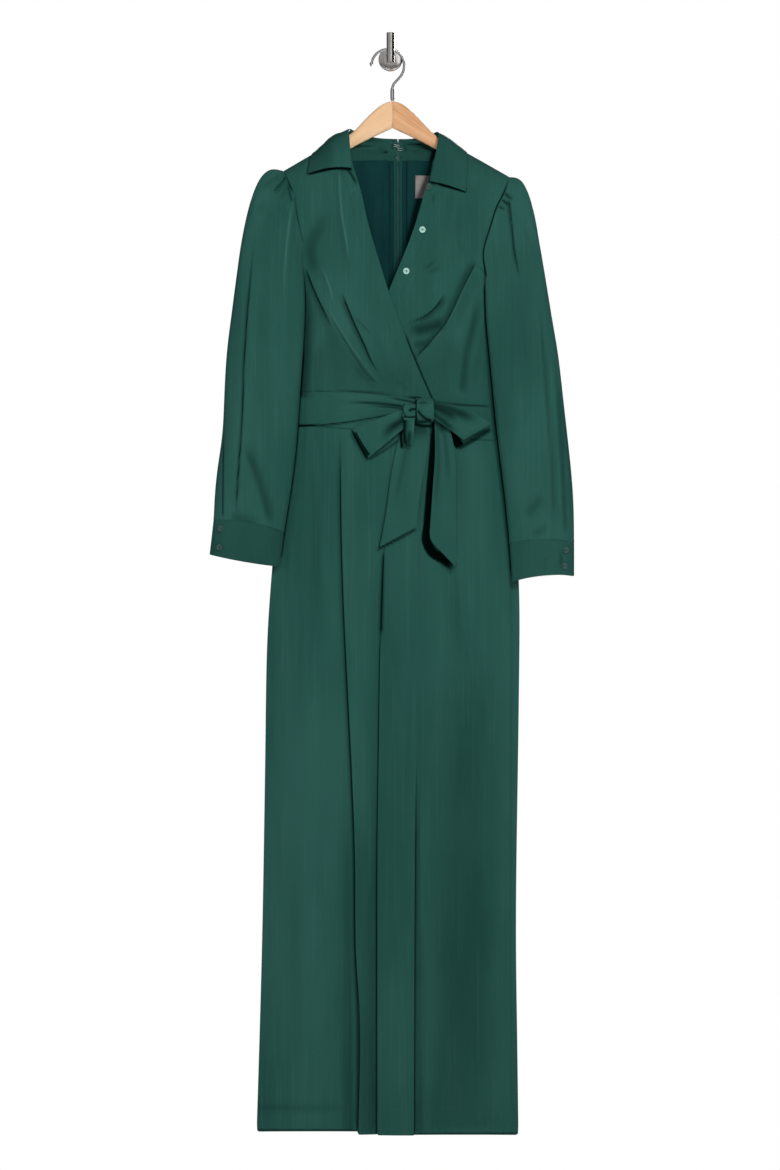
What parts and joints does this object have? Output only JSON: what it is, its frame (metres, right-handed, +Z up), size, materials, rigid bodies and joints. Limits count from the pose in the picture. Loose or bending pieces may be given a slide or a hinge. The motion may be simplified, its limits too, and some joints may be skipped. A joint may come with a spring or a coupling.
{
  "type": "jumpsuit on a hanger and wall hook",
  "caption": "Long-sleeved wide-leg satin jumpsuit with a crossed collared front, tie belt and back zip, hanging on a wooden hanger from a wall hook.",
  "frame": {"origin": "centre of the wall plate's back face, where it meets the wall", "axes": "+Z up, +Y into the wall, so that the garment's front faces -Y, and +X to the right as seen from the front"},
  "size_m": [0.5469, 0.1035, 1.6549],
  "materials": {
    "satin": "green satin",
    "lining": "dark matt lining",
    "label": "grey woven, bare",
    "mint_button": "glossy pale mint",
    "dark_button": "glossy dark green",
    "light_wood": "clear satin varnish",
    "warm_wood": "clear satin varnish",
    "chrome": "polished",
    "steel": "brushed",
    "silver": "polished"
  },
  "bodies": {
    "garment": {"back_lining_left": "lining", "back_lining_right": "lining", "bodice_back_left": "satin", "bodice_back_right": "satin", "bodice_front_left": "satin", "bodice_front_right": "satin", "bow_knot": "satin", "bow_loop_left": "satin", "bow_loop_right": "satin", "bow_loop_small": "satin", "bow_roll": "satin", "bow_tail_left": "satin", "bow_tail_right": "satin", "collar_fall_left": "satin", "collar_fall_right": "satin", "collar_stand_left": "satin", "collar_stand_right": "satin", "cuff_button_left_1": "dark_button", "cuff_button_left_2": "dark_button", "cuff_button_right_1": "dark_button", "cuff_button_right_2": "dark_button", "cuff_left": "satin", "cuff_right": "satin", "front_band_left": "satin", "front_band_right": "satin", "front_button_1": "dark_button", "front_button_2": "mint_button", "front_button_3": "mint_button", "hanger_arm_left": "light_wood", "hanger_arm_right": "warm_wood", "hanger_hook": "chrome", "leg_back_left": "satin", "leg_back_right": "satin", "leg_front_left": "satin", "leg_front_right": "satin", "neck_eye": "silver", "neck_hook": "silver", "neck_label": "label", "sash": "satin", "sleeve_left": "satin", "sleeve_right": "satin", "waistband_back_left": "satin", "waistband_back_right": "satin", "waistband_front": "satin", "wall_peg": "steel", "wall_plate": "steel", "zip_slider": "silver", "zip_tape_left": "satin", "zip_tape_right": "satin"},
    "pull_tab": {"zip_pull_tab": "silver"}
  },
  "joints": [
    {"name": "pull_tab_hinge", "type": "hinge", "parent": "garment", "child": "pull_tab", "pos_m": [0.0112, -0.02477, -0.1552], "axis": [1, 0, 0], "range_deg": [0, 150]}
  ]
}
